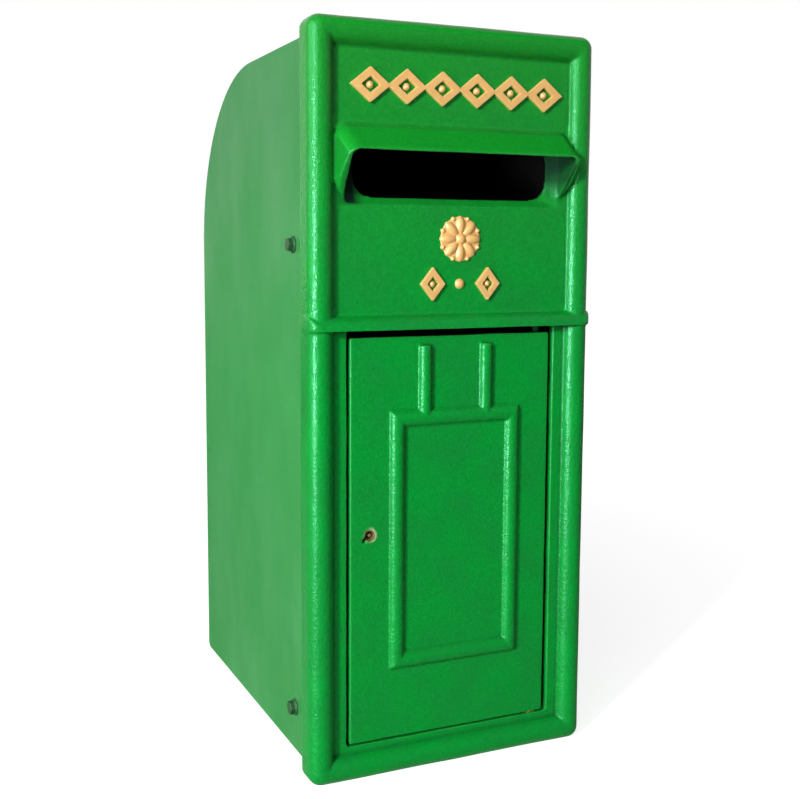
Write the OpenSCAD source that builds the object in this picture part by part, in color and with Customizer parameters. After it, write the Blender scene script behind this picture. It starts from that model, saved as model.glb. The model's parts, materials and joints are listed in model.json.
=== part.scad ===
// Letter box: a cast front with a posting hood and a hinged collection door,
// bolted to a case of sheet steel with a rounded top at the back.
// Millimetres. X runs to the viewer's right, the front faces -Y and Z is up.
// The origin is under the middle of the whole box, level with the foot of the casting.

/* [Front casting] */
// Width of the cast front
front_w = 243; // [230:1:270]
// Height of the cast front
front_h = 580; // [560:1:620]
// Thickness of the flat walls of the casting
front_wall = 6; // [5:0.5:7]
// Radius of the four outer corners, seen from the front
corner_r = 10; // [10:1:16]
// Width of the half-round border bead
bead_w = 20; // [18:1:22]
// Distance from the back of the rim to the crest of the bead
bead_crest = 24; // [23:0.5:28]
// Thickness of the hollow bead
bead_wall = 5; // [4:0.5:6]
// Distance from the back of the rim to the face of the upper panel
upper_face = 16; // [15:0.5:18]
// Distance from the back of the rim to the margin round the door
lower_face = 15; // [14:0.5:16]

/* [Ledge moulding] */
// Height of the underside of the ledge
ledge_z = 351; // [345:0.5:360]
// Radius of the quarter-round ledge
ledge_r = 10; // [8:0.5:12]
// Height of the square lower edge of the ledge
ledge_lip = 0.5; // [0.5:0.5:3]
// Overhang of the ledge past each side of the casting
ledge_over = 0.8; // [0.4:0.1:1.5]
// Radius of the two front corners of the ledge, seen from above
ledge_corner = 9; // [6:1:12]

/* [Posting hood] */
// Drop from the top of the casting to the root of the hood
hood_drop = 75; // [70:1:82]
// Height of the hood from its foot to its root
hood_h = 53; // [50:0.5:56]
// Height of the lip above the foot of the hood
hood_lip_h = 30; // [27:0.5:32]
// Distance from the back of the rim to the front of the lip
hood_reach = 42; // [38:1:48]
// Width across the hood at its root on the panel
hood_root_w = 202; // [198:1:203]
// Width across the hood at its lip
hood_lip_w = 196; // [190:1:198]
// Radius of the corners of the hood at its root
hood_root_r = 10; // [6:1:14]
// Radius of the corners of the hood at its lip
hood_lip_r = 9; // [5:0.5:12]
// Thickness of the lip, measured upright
hood_wall = 2.7; // [2:0.1:5]
// Thickness of each cheek at the lip
cheek_wall = 3; // [2.5:0.5:4.5]
// Width of the mouth where it meets the panel
mouth_w = 185; // [178:1:188]
// Width of the posting slot at the back of the panel
slot_w = 163; // [150:1:166]
// Height of the posting slot
slot_h = 42.5; // [38:0.5:46]
// Corner radius of the posting slot
slot_r = 16; // [8:1:18]
// Height of the bevelled sill under the slot
sill_h = 7.5; // [5:0.5:11]
// Straight edge left round the slot behind its bevels
slot_land = 1; // [0.5:0.5:2]

/* [Door] */
// Width of the door opening
opening_w = 181; // [172:1:184]
// Offset of the door opening to the hinge side of the middle
opening_shift = 1; // [0:0.5:2]
// Height of the lower edge of the door opening
opening_z = 26; // [24:0.5:30]
// Corner radius of the door opening
opening_r = 2.5; // [1.5:0.5:8]
// Gap between door and casting on the lock side
lock_gap = 2.5; // [1:0.1:4]
// Gap between door and casting on the hinge side
hinge_gap = 4; // [3.6:0.1:5]
// Gap under the door, which holds the hinge washer
bottom_gap = 1.5; // [1.2:0.1:2.5]
// Gap between the top of the door and the ledge
top_gap = 6; // [5:0.5:10]
// Thickness of the door
door_wall = 6; // [5:0.5:7]
// Corner radius of the door
door_r = 1.5; // [1:0.5:7]
// Width of the two upright ribs
rib_w = 10.5; // [9:0.5:14]
// Width of the half-round bars of the moulded frame
frame_bar_w = 12.5; // [9:0.5:15]
// Height of the ribs and of the bars of the frame
rib_h = 5; // [3.5:0.5:5.5]
// Outside width of the moulded frame
panel_w = 114; // [100:1:120]
// Outside height of the moulded frame
panel_h = 204.5; // [180:0.5:215]
// Height of the lower edge of the moulded frame
panel_z = 83.5; // [75:0.5:90]
// Offset of the moulded frame to the hinge side of the middle
panel_shift = 3; // [0:0.5:6]
// Distance between the two upright ribs
rib_pitch = 53.5; // [40:1:60]
// Offset of the two ribs to the hinge side of the middle
rib_shift = 2.5; // [0:0.5:4]
// Drop from the top of the door to the top of the ribs
rib_drop = 7; // [5:0.5:12]
// Gap between the closed door and its stops
seat_gap = 0.3; // [0.2:0.05:0.5]
// Height of each door stop
stop_h = 20; // [14:1:30]
// Distance of the stops from the lower and upper edges of the door
stop_inset = 60; // [40:1:80]
// Overlap of a stop behind the edge of the door
stop_lap = 5; // [3:0.5:8]
// Thickness of each door stop
stop_t = 5; // [4:0.5:7]

/* [Hinge] */
// Distance from the hinge-side edge of the door to the pin
hinge_inset = 7.5; // [7:0.1:9]
// Distance from the face of the door back to the pin
hinge_back = 8; // [7.5:0.1:8.2]
// Radius of the hinge pins
pin_r = 2.5; // [2:0.1:2.7]
// Running clearance round a hinge pin, at the radius
pin_run = 0.05; // [0.02:0.01:0.1]
// Radius of the barrels cast on the back of the door
barrel_r = 6; // [5:0.25:6.5]
// Height of each barrel
barrel_h = 40; // [30:1:60]
// Depth to which each pin enters its barrel
pin_grip = 20; // [14:1:26]
// Width of the hinge lugs cast on the front
lug_w = 20; // [16:1:22]
// Height of the hinge lugs
lug_h = 12; // [10:0.5:14]
// Wall of metal behind and before each pin in its lug
lug_wall = 4; // [3.5:0.5:5]
// Radius of the bearing washer
washer_r = 5.5; // [4.5:0.5:6]
// Play left above the bearing washer
washer_play = 0.1; // [0.05:0.05:0.2]
// Length of the bent leg of the upper pin
pin_leg = 15; // [12:1:24]
// Thickness of metal left under the lower pin
pin_floor = 2; // [1.5:0.5:4]

/* [Case] */
// Depth of the case behind the rim of the casting
case_depth = 296; // [270:1:330]
// Thickness of the sheet steel
sheet = 2; // [1.5:0.1:2.2]
// Step from the side of the casting to the side of the case
side_inset = 8; // [7:0.5:9]
// Step from the foot of the casting up to the base of the case
base_inset = 7; // [6:0.5:8.5]
// Step from the top of the casting down to the top of the case
top_inset = 11; // [8:0.5:12]
// Radius of the rounded top at the back
top_r = 152; // [120:1:170]
// Outside radius of the bend between back and base
rear_bend_r = 6; // [4:0.5:10]
// Depth to which the case enters the groove behind the bead
groove_entry = 8; // [5:0.5:8.5]

/* [Case fixings] */
// Height of the lower pair of fixing bolts
bolt_low_z = 43; // [38:1:60]
// Height of the upper pair of fixing bolts
bolt_high_z = 415; // [380:1:430]
// Distance of the fixing bolts behind the rim
bolt_back = 36; // [30:1:44]
// Shank radius of the fixing bolts
bolt_r = 3; // [2.5:0.25:3.5]
// Clearance round the shank of a fixing bolt, at the radius
bolt_clear = 0.3; // [0.2:0.05:0.5]
// Radius of the round bolt heads
head_r = 5.5; // [5:0.25:6.5]
// Height of the round bolt heads
head_h = 3.5; // [3:0.25:4]
// Thickness of the lugs that take the bolts
bolt_lug = 10; // [8:0.5:11]
// Radius of the rounded lug ends
bolt_lug_r = 10; // [8:0.5:12]
// Thickness of the washers under the nuts
nut_washer = 1.2; // [1:0.1:1.6]
// Radius of the washers under the nuts
nut_washer_r = 6.2; // [6:0.1:7]
// Width of the nuts across their flats
nut_flats = 10; // [9.5:0.5:11]
// Thickness of the nuts
nut_h = 5; // [4.5:0.5:6]
// Length of thread that shows past each nut
thread_end = 2; // [1:0.5:4]

/* [Wall fixing] */
// Radius of the wall-fixing holes
wall_hole_r = 4; // [3:0.25:5]
// Distance between the wall-fixing holes, side to side
wall_span_x = 140; // [100:1:170]
// Distance between the wall-fixing holes, up and down
wall_span_z = 320; // [240:1:340]
// Height of the middle of the wall-fixing holes
wall_mid_z = 210; // [190:1:220]

/* [Lock] */
// Distance from the lock-side edge of the door to the keyhole
key_inset = 16.5; // [15.5:0.5:19]
// Height of the keyhole
key_z = 192.5; // [180:0.5:205]
// Radius of the round part of the keyhole
keyhole_r = 3.2; // [2.8:0.1:3.6]
// Width of the slot that lets the bit of the key in
key_slot_w = 2.6; // [2:0.1:3]
// Reach of that slot from the middle of the keyhole
key_slot_l = 7.5; // [6:0.25:8.5]
// Radius of the pin that the key turns on
drill_pin_r = 1.25; // [1:0.05:1.5]
// Distance from the lock-side edge of the door to the lock case
lock_inset = 1; // [0.5:0.5:3]
// Height of the keyhole above the base of the lock case
key_rise = 20.5; // [19.5:0.5:22]
// Width of the lock case
lock_w = 50; // [49.5:0.5:54]
// Height of the lock case
lock_h = 48; // [47:0.5:52]
// Depth of the lock case with its cap
lock_d = 14; // [14:0.5:16]
// Thickness of the lock case and of its cap
lock_wall = 2; // [1.5:0.25:2]
// Height of the two ears of the lock case
lock_ear = 12; // [10:0.5:14]
// Radius of the outer corners of the lock case
lock_corner = 2; // [1.5:0.25:3]
// Shank radius of the lock's fixing screws
lock_screw_r = 2; // [1.75:0.05:2.1]
// Metal left in front of the fixing screws in the door
screw_blind = 1.5; // [1:0.25:2]
// Gap between the end of a fixing screw and the bottom of its hole
screw_gap = 0.4; // [0.2:0.1:0.6]
// Radius of the posts that the cap is screwed to
post_r = 2.5; // [2.25:0.05:2.6]
// Shank radius of the cap screws
cap_screw_r = 1.25; // [1:0.05:1.4]

/* [Lock bolt and levers] */
// Height of the bolt's bar above the middle of the keyhole
bar_rise = 4.5; // [4:0.25:5]
// Height of the bolt's bar
bar_h = 12; // [11:0.5:12]
// Thickness of the bolt's bar
bar_t = 3; // [2.5:0.25:3.25]
// Thickness of the bolt's head
bolt_head_t = 6; // [5:0.5:6.5]
// Width of the bolt's head along its travel
bolt_head_w = 9; // [8:0.5:9]
// Extra height of the bolt's head above and below the bar
bolt_head_over = 1; // [0.5:0.25:1.25]
// Throw of the bolt
bolt_throw = 8; // [6:0.5:8]
// Depth of the drawn bolt inside the edge of the lock case
bolt_sink = 0.5; // [0.25:0.25:1]
// Gap between the tail of the drawn bolt and the wall of the lock case
tail_gap = 0.7; // [0.5:0.1:1.2]
// Metal left past the end of the bolt's slot
slot_end = 1.6; // [1.4:0.1:2.5]
// Metal of the keep above and below the thrown bolt
keep_margin = 5; // [3:0.5:8]
// Width of the talon that the key's bit works in
talon_w = 7; // [6:0.5:8]
// Height of the talon
talon_h = 3; // [2:0.25:3.5]
// Clearance of parts that slide in the lock
slide_gap = 0.2; // [0.15:0.05:0.25]
// Side of the square stump on the bolt
stump = 3; // [2.5:0.25:3]
// Distance from the levers' post to the stump of the drawn bolt
stump_reach = 14; // [13:0.5:14.5]
// Height of the stump above the levers' post
stump_rise = 2; // [1:0.25:2.5]
// Thickness of each lever
lever_t = 1.4; // [1.2:0.1:1.5]
// Gap between neighbouring levers
lever_gap = 0.3; // [0.2:0.05:0.35]
// Length of each lever from its post to its tip
lever_reach = 24.5; // [23:0.5:24.5]
// Height of the levers above their post
lever_rise = 8; // [7:0.25:8]
// Depth of the levers below their post
lever_drop = 4.5; // [4:0.25:4.5]
// Width of metal round the eye of a lever
lever_eye = 3; // [2:0.25:3.25]
// Greatest lift of a lever at the stump
lever_lift = 2.3; // [2:0.1:2.4]
// Clearance of the stump in the pockets of a lever
pocket_gap = 1; // [0.75:0.25:1.25]
// Radius of the post that the levers swing on
lever_post_r = 2; // [1.5:0.1:2.2]
// Thickness of the leaf springs on the levers
leaf_t = 0.4; // [0.3:0.05:0.5]

/* [Hidden] */
$fn = 64;

// A cut is taken this much further than the face it has to break
over = 1;
// How far a cast feature is rooted in the wall that carries it
root = 3;
// Thickness of the slices that a drawn-out form is stretched between
thin = 0.1;

half_w = front_w / 2;
seat_y = (hood_reach - case_depth) / 2;
bead_r = bead_w / 2;
bead_mid = bead_crest - bead_r;
upper_back = upper_face - front_wall;
lower_back = lower_face - front_wall;
wall_back = min(upper_back, lower_back);

hood_z = front_h - hood_drop;
foot_z = hood_z - hood_h;
lip_z = foot_z + hood_lip_h;

opening_left = opening_shift - opening_w / 2;
opening_right = opening_shift + opening_w / 2;
door_left = opening_left + lock_gap;
door_right = opening_right - hinge_gap;
door_z = opening_z + bottom_gap;
door_top = ledge_z - top_gap;
door_back = lower_face - door_wall;

hinge_x = door_right - hinge_inset;
hinge_y = hinge_back - lower_face;
lug_depth = pin_r + lug_wall;
lug_top = ledge_z + lug_h;

case_half = half_w - side_inset;
case_z = base_inset;
case_top = front_h - top_inset;
lug_face = case_half - sheet;
nut_face = lug_face - bolt_lug;

key_x = door_left + key_inset;
lock_left = door_left + lock_inset;
lock_right = lock_left + lock_w;
lock_z = key_z - key_rise;
lock_top = lock_z + lock_h;
lock_floor = -door_back + lock_wall;
cap_y = -door_back + lock_d - lock_wall;
post_inset = 5;
screw_inset = 5.5;

bar_y = lock_floor + slide_gap;
bar_z = key_z + bar_rise;
bar_left = lock_left + bolt_sink;
bar_right = lock_right - lock_wall - tail_gap;
bar_mid_z = bar_z + bar_h / 2;
bolt_head_h = bar_h + 2 * bolt_head_over;
lever_x = bar_right - bolt_throw - lever_post_r - slide_gap - slot_end;
stump_x = lever_x - stump_reach;
stump_z = bar_mid_z + stump_rise;
lever_y = bar_y + bar_t + lever_gap;
lever_top = bar_mid_z + lever_rise;
lever_pitch = lever_t + lever_gap;
lever_count = 3;
leaf_span = 18;

green = "#139436";
case_green = "#4e9f5a";
steel = "#9a9c9b";
brass = "#b9913f";

// Helpers

module at_seat() {
    translate([0, seat_y, 0]) children();
}

// A flat outline drawn in X and Z, made solid from y0 back to y1
module slab_y(y0, y1) {
    translate([0, y1, 0]) rotate([90, 0, 0]) linear_extrude(height = y1 - y0) children();
}

// A flat outline drawn in Y and Z, made solid from x0 to x1
module slab_x(x0, x1) {
    translate([x0, 0, 0]) rotate([90, 0, 90]) linear_extrude(height = x1 - x0) children();
}

// A round bar along Y from y0 to y1
module rod_y(r, y0, y1) {
    translate([0, y1, 0]) rotate([90, 0, 0]) cylinder(r = r, h = y1 - y0);
}

// A round bar along X from x0 to x1
module rod_x(r, x0, x1) {
    translate([x0, 0, 0]) rotate([0, 90, 0]) cylinder(r = r, h = x1 - x0);
}

// A rectangle with its lower left corner at x, z and four rounded corners
module rounded(x, z, w, h, r) {
    translate([x + r, z]) square([w - 2 * r, h]);
    translate([x, z + r]) square([w, h - 2 * r]);
    for (cx = [x + r, x + w - r], cz = [z + r, z + h - r]) translate([cx, cz]) circle(r);
}

// Front casting

// Section of the border, u from the outer edge inwards and v forwards from the rim
module bead_section() {
    translate([bead_r, bead_mid]) circle(bead_r);
    square([bead_w, bead_mid]);
}

module groove_section() {
    translate([bead_r, bead_mid]) circle(bead_r - bead_wall);
    translate([bead_wall, -over]) square([bead_w - 2 * bead_wall, bead_mid + over]);
    translate([bead_wall, -over]) square([bead_w, wall_back + over]);
}

// A section swept round the casting, with round outer corners
module round_border() {
    for (side = [0, 1]) mirror([side, 0, 0])
        translate([-half_w, 0, corner_r])
            linear_extrude(height = front_h - 2 * corner_r) mirror([0, 1]) children();
    for (end = [0, 1]) translate([0, 0, end * front_h]) mirror([0, 0, end])
        slab_x(corner_r - half_w, half_w - corner_r) rotate(90) children();
    for (side = [0, 1], end = [0, 1])
        translate([0, 0, end * front_h]) mirror([0, 0, end]) mirror([side, 0, 0])
            translate([corner_r - half_w, 0, corner_r]) rotate([90, 0, 0])
                rotate([0, 0, 180]) rotate_extrude(angle = 90) intersection() {
                    translate([corner_r, 0]) mirror([1, 0]) children();
                    translate([0, -2 * over]) square([corner_r, bead_crest + 4 * over]);
                }
}

module border() {
    difference() {
        round_border() bead_section();
        round_border() groove_section();
    }
}

module panels() {
    wide = half_w - bead_w + root;
    slab_y(-upper_face, -upper_back)
        translate([-wide, ledge_z]) square([2 * wide, front_h - bead_w + root - ledge_z]);
    slab_y(-lower_face, -lower_back)
        difference() {
            translate([-wide, bead_w - root]) square([2 * wide, ledge_z + root - bead_w + root]);
            door_outline();
        }
}

// The door opening runs up to the underside of the ledge
module door_outline() {
    rounded(opening_left, opening_z, opening_w, ledge_z - opening_z + opening_r, opening_r);
}

module ledge() {
    intersection() {
        slab_x(-half_w - ledge_over, half_w + ledge_over) {
            translate([-upper_face, ledge_z + ledge_lip]) intersection() {
                circle(ledge_r);
                translate([-ledge_r, 0]) square([ledge_r + root, ledge_r]);
            }
            translate([-upper_face - ledge_r, ledge_z])
                square([ledge_r + upper_face - wall_back, ledge_lip]);
            translate([-upper_face, ledge_z])
                square([upper_face - wall_back, ledge_lip + ledge_r]);
        }
        ledge_plan();
    }
}

// Plan of the ledge with its two rounded front corners
module ledge_plan() {
    translate([0, 0, ledge_z - over]) linear_extrude(height = ledge_lip + ledge_r + 2 * over)
        rounded(-half_w - ledge_over, -upper_face - ledge_r, 2 * (half_w + ledge_over),
            upper_face + ledge_r + ledge_corner, ledge_corner);
}

// The space below the mouth of the hood, whose rim slants from the lip back to the foot
module below_mouth() {
    slope = (lip_z - foot_z) / (hood_reach - upper_face);
    slab_x(-half_w, half_w) polygon([
        [-upper_face, foot_z - hood_h], [-upper_face, foot_z],
        [-hood_reach - over, lip_z + slope * over], [-hood_reach - over, foot_z - hood_h]]);
}

// The hood is drawn out from its root on the panel to its lip, and cut off at its mouth
module hood_outside() {
    $fn = 40;
    lip_top = lip_z + hood_wall;
    difference() {
        hull() {
            slab_y(-upper_face, root - upper_face)
                rounded(-hood_root_w / 2, foot_z, hood_root_w, hood_h, hood_root_r);
            slab_y(-hood_reach, thin - hood_reach)
                rounded(-hood_lip_w / 2, lip_top - 2 * hood_lip_r, hood_lip_w, 2 * hood_lip_r, hood_lip_r);
        }
        below_mouth();
    }
}

// Outline of the mouth where it meets the face of the panel, with the sill below it
module mouth_on_panel() {
    rounded(-mouth_w / 2, foot_z - sill_h, mouth_w, slot_h + sill_h, root);
}

// The room under the hood, and the funnel that narrows from it to the slot
module hood_inside() {
    $fn = 40;
    lip_in_w = hood_lip_w - 2 * cheek_wall;
    lip_in_r = hood_lip_r - cheek_wall;
    hull() {
        slab_y(-upper_face - thin, -upper_face) mouth_on_panel();
        slab_y(-hood_reach - over, -hood_reach)
            rounded(-lip_in_w / 2, foot_z - sill_h, lip_in_w, lip_z - foot_z + sill_h, lip_in_r);
    }
    hull() {
        slab_y(-upper_face - thin, -upper_face) mouth_on_panel();
        slab_y(-upper_back - slot_land, over - upper_back)
            rounded(-slot_w / 2, foot_z, slot_w, slot_h, slot_r);
    }
}

// Lug with a round end that takes one fixing bolt through the side of the case
module bolt_lug(z) {
    slab_x(nut_face, lug_face) {
        translate([-lower_back - root, z - bolt_lug_r])
            square([bolt_back + lower_back + root, 2 * bolt_lug_r]);
        translate([bolt_back, z]) circle(bolt_lug_r);
    }
}

module hinge_lug(z) {
    translate([hinge_x - lug_w / 2, -lower_face + root, z])
        cube([lug_w, lower_face - root + hinge_y + lug_depth, lug_h]);
}

// Stop behind the lock-side edge of the door
module door_stop(z) {
    translate([0, 0, z]) linear_extrude(height = stop_h) polygon([
        [door_left - 2 * stop_lap, -lower_back - over],
        [opening_left - seat_gap, -lower_back - over],
        [opening_left - seat_gap, seat_gap - door_back],
        [door_left + stop_lap, seat_gap - door_back],
        [door_left + stop_lap, seat_gap - door_back + stop_t],
        [door_left - 2 * stop_lap, seat_gap - door_back + stop_t]]);
}

// Cast pad that the lock bolt slides behind
module bolt_keep() {
    keep_w = half_w - bead_w + over + opening_left - seat_gap;
    keep_h = bolt_head_h + 2 * keep_margin;
    translate([-half_w + bead_w - over, -lower_back - over, bar_mid_z - keep_h / 2])
        cube([keep_w, over + lower_back + bar_y - slide_gap, keep_h]);
}

module front_casting() color(green) at_seat() {
    difference() {
        union() {
            border();
            panels();
            ledge();
            hood_outside();
            for (side = [0, 1], z = [bolt_low_z, bolt_high_z]) mirror([side, 0, 0]) bolt_lug(z);
            hinge_lug(opening_z - lug_h);
            hinge_lug(ledge_z);
            door_stop(door_z + stop_inset);
            door_stop(door_top - stop_inset - stop_h);
            bolt_keep();
        }
        hood_inside();
        for (side = [0, 1], z = [bolt_low_z, bolt_high_z]) mirror([side, 0, 0])
            translate([0, bolt_back, z]) rod_x(bolt_r + bolt_clear, nut_face - over, lug_face + over);
        translate([hinge_x, hinge_y, opening_z - lug_h + pin_floor])
            cylinder(r = pin_r + pin_run, h = lug_h);
        translate([hinge_x, hinge_y, ledge_z - over])
            cylinder(r = pin_r + pin_run, h = lug_h + 2 * over);
    }
}

// Door

// A half-round moulding of width w along X, its flat side on the plane v = 0
module moulding(length, w) {
    r = (pow(w / 2, 2) + pow(rib_h, 2)) / (2 * rib_h);
    rod_lift = rib_h - r;
    intersection() {
        translate([0, -rod_lift, 0]) rod_x(r, 0, length);
        translate([0, -rib_h, -w]) cube([length, rib_h + root, 2 * w]);
    }
}

// One side of the moulded frame, its outer edge on z = 0, with mitred ends
module mitred_side(length) {
    w = frame_bar_w;
    intersection() {
        translate([0, 0, w / 2]) moulding(length, w);
        slab_y(-rib_h - over, root + over) polygon([[0, 0], [length, 0], [length - w, w], [w, w]]);
    }
}

module moulded_frame() {
    left = panel_shift - panel_w / 2;
    translate([left, 0, panel_z]) {
        mitred_side(panel_w);
        translate([0, 0, panel_h]) mirror([0, 0, 1]) mitred_side(panel_w);
        translate([0, 0, panel_h]) rotate([0, 90, 0]) mitred_side(panel_h);
        translate([panel_w, 0, 0]) rotate([0, -90, 0]) mitred_side(panel_h);
    }
}

module ribs() {
    top = door_top - rib_drop;
    bottom = panel_z + panel_h - frame_bar_w / 2;
    for (side = [-1, 1]) translate([rib_shift + side * rib_pitch / 2, 0, bottom])
        rotate([0, -90, 0]) moulding(top - bottom, rib_w);
}

module keyhole(y0, y1) {
    translate([key_x, 0, key_z]) {
        rod_y(keyhole_r, y0, y1);
        slab_y(y0, y1) rotate(222) translate([0, -key_slot_w / 2]) square([key_slot_l, key_slot_w]);
    }
}

module screw_places() {
    for (x = [lock_left + screw_inset, lock_right - screw_inset],
         z = [lock_z - lock_ear / 2, lock_top + lock_ear / 2]) translate([x, 0, z]) children();
}

module door() color(green) at_seat() {
    difference() {
        union() {
            slab_y(-lower_face, -door_back)
                rounded(door_left, door_z, door_right - door_left, door_top - door_z, door_r);
            translate([0, -lower_face, 0]) {
                moulded_frame();
                ribs();
            }
            for (z = [door_z, door_top - barrel_h]) translate([hinge_x, hinge_y, z])
                cylinder(r = barrel_r, h = barrel_h);
        }
        translate([hinge_x, hinge_y, door_z - over]) cylinder(r = pin_r + pin_run, h = pin_grip + 2 * over);
        translate([hinge_x, hinge_y, door_top - pin_grip - over])
            cylinder(r = pin_r + pin_run, h = pin_grip + 2 * over);
        keyhole(-lower_face - over, over - door_back);
        screw_places() rod_y(lock_screw_r, screw_blind - lower_face, over - door_back);
    }
}

// Hinge

module lower_hinge_pin() color(green) at_seat()
    translate([hinge_x, hinge_y, opening_z - lug_h + pin_floor])
        cylinder(r = pin_r, h = lug_h - pin_floor + bottom_gap + pin_grip);

module hinge_washer() color(brass) at_seat()
    translate([hinge_x, hinge_y, opening_z]) difference() {
        cylinder(r = washer_r, h = bottom_gap - washer_play);
        translate([0, 0, -over]) cylinder(r = pin_r + pin_run, h = bottom_gap + 2 * over);
    }

// The upper pin drops in from inside the case and hangs by its bent leg
module upper_hinge_pin() color(green) at_seat()
    translate([hinge_x, hinge_y, 0]) {
        translate([0, 0, door_top - pin_grip]) cylinder(r = pin_r, h = lug_top + pin_r - door_top + pin_grip);
        translate([0, 0, lug_top + pin_r]) {
            sphere(r = pin_r);
            rod_y(pin_r, 0, pin_leg);
        }
    }

// Case

// Side view of the case in Y and Z, drawn in by a distance from the outer face
module case_outline(in) {
    rear = case_depth - in;
    low = case_z + in;
    high = case_top - in;
    big = top_r - in;
    small = rear_bend_r - in;
    front = -groove_entry - in;
    translate([front, low]) square([case_depth - top_r - front, high - low]);
    translate([front, low + small]) square([rear - front, high - big - low - small]);
    translate([front, low]) square([rear - small - front, high - big - low]);
    translate([case_depth - top_r, case_top - top_r]) intersection() {
        circle(big);
        square([big, big]);
    }
    translate([rear - small, low + small]) circle(small);
}

module bolt_places() {
    for (side = [0, 1], z = [bolt_low_z, bolt_high_z]) mirror([side, 0, 0])
        translate([0, bolt_back, z]) children();
}

module side_plate() {
    difference() {
        slab_x(lug_face, case_half) case_outline(0);
        bolt_places() rod_x(bolt_r + bolt_clear, lug_face - over, case_half + over);
    }
}

module side_plate_right() color(case_green) at_seat() side_plate();

module side_plate_left() color(case_green) at_seat() mirror([1, 0, 0]) side_plate();

// One sheet forms the top, the rolled corner, the back and the base
module wrapped_sheet() color(case_green) at_seat() difference() {
    slab_x(-lug_face, lug_face) difference() {
        case_outline(0);
        case_outline(sheet);
    }
    for (x = [-wall_span_x / 2, wall_span_x / 2], z = [-wall_span_z / 2, wall_span_z / 2])
        translate([x, 0, wall_mid_z + z])
            rod_y(wall_hole_r, case_depth - sheet - over, case_depth + over);
}

// Case fixings

// A domed head with a slot across it for a screwdriver
module round_head(r, h) {
    dome = (r * r + h * h) / (2 * h);
    slot_width = r / 4;
    slot_floor = 0.6 * h;
    difference() {
        intersection() {
            cylinder(r = r, h = h);
            translate([0, 0, h - dome]) sphere(r = dome);
        }
        translate([-r - over, -slot_width / 2, slot_floor]) cube([2 * (r + over), slot_width, h]);
    }
}

// The head of a small screw, sized from its shank
module screw_head(shank_r) {
    rotate([-90, 0, 0]) round_head(1.8 * shank_r, 1.1 * shank_r);
}

module case_bolts() color(case_green) at_seat() bolt_places() {
    rod_x(bolt_r, nut_face - nut_washer - nut_h - thread_end, case_half);
    translate([case_half, 0, 0]) rotate([0, 90, 0]) round_head(head_r, head_h);
}

module nut_washers() color(steel) at_seat() bolt_places() difference() {
    rod_x(nut_washer_r, nut_face - nut_washer, nut_face);
    rod_x(bolt_r + bolt_clear, nut_face - nut_washer - over, nut_face + over);
}

module case_nuts() color(steel) at_seat() bolt_places() difference() {
    outer = nut_face - nut_washer;
    translate([outer - nut_h, 0, 0]) rotate([0, 90, 0])
        cylinder(r = nut_flats / 2 / cos(30), h = nut_h, $fn = 6);
    rod_x(bolt_r + pin_run, outer - nut_h - over, outer + over);
}

// Lock

module post_places() {
    for (x = [lock_left + post_inset, lock_right - post_inset],
         z = [lock_z + post_inset, lock_top - post_inset]) translate([x, 0, z]) children();
}

module lock_case() color(steel) at_seat() {
    difference() {
        union() {
            difference() {
                slab_y(-door_back, cap_y) rounded(lock_left, lock_z, lock_w, lock_h, lock_corner);
                slab_y(lock_floor, cap_y + over)
                    rounded(lock_left + lock_wall, lock_z + lock_wall, lock_w - 2 * lock_wall,
                        lock_h - 2 * lock_wall, lock_corner / 2);
            }
            slab_y(-door_back, lock_floor)
                rounded(lock_left, lock_z - lock_ear, lock_w, lock_h + 2 * lock_ear, lock_corner);
            post_places() rod_y(post_r, -door_back, cap_y);
        }
        keyhole(-door_back - over, lock_floor + over);
        screw_places() rod_y(lock_screw_r + pin_run, -door_back - over, lock_floor + over);
        post_places() rod_y(cap_screw_r, lock_floor, cap_y + over);
        translate([lever_x, 0, bar_mid_z]) rod_y(lever_post_r, -door_back - over, lock_floor + over);
        translate([lock_left - over, bar_y - slide_gap, bar_mid_z - bolt_head_h / 2 - slide_gap])
            cube([lock_wall + 2 * over, bolt_head_t + 2 * slide_gap, bolt_head_h + 2 * slide_gap]);
    }
}

module lock_cap() color(steel) at_seat() difference() {
    slab_y(cap_y, cap_y + lock_wall) rounded(lock_left, lock_z, lock_w, lock_h, lock_corner);
    post_places() rod_y(cap_screw_r + pin_run, cap_y - over, cap_y + lock_wall + over);
    translate([key_x, 0, key_z]) rod_y(drill_pin_r, cap_y - over, cap_y + lock_wall + over);
}

// The bolt is drawn back, so that the door is free
module lock_bolt() color(brass) at_seat() {
    slot_r = lever_post_r + slide_gap;
    difference() {
        union() {
            translate([bar_left, bar_y, bar_z]) cube([bar_right - bar_left, bar_t, bar_h]);
            translate([bar_left, bar_y, bar_mid_z - bolt_head_h / 2])
                cube([bolt_head_w, bolt_head_t, bolt_head_h]);
            translate([stump_x - stump / 2, bar_y, stump_z - stump / 2])
                cube([stump, bar_t + lever_count * lever_pitch + lever_gap, stump]);
        }
        translate([key_x - talon_w / 2, bar_y - over, bar_z - over])
            cube([talon_w, bar_t + 2 * over, talon_h + over]);
        translate([lever_x, 0, bar_mid_z]) {
            rod_y(slot_r, bar_y - over, bar_y + bar_t + over);
            translate([bolt_throw, 0, 0]) rod_y(slot_r, bar_y - over, bar_y + bar_t + over);
            translate([0, bar_y - over, -slot_r]) cube([bolt_throw, bar_t + 2 * over, 2 * slot_r]);
        }
    }
}

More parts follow.
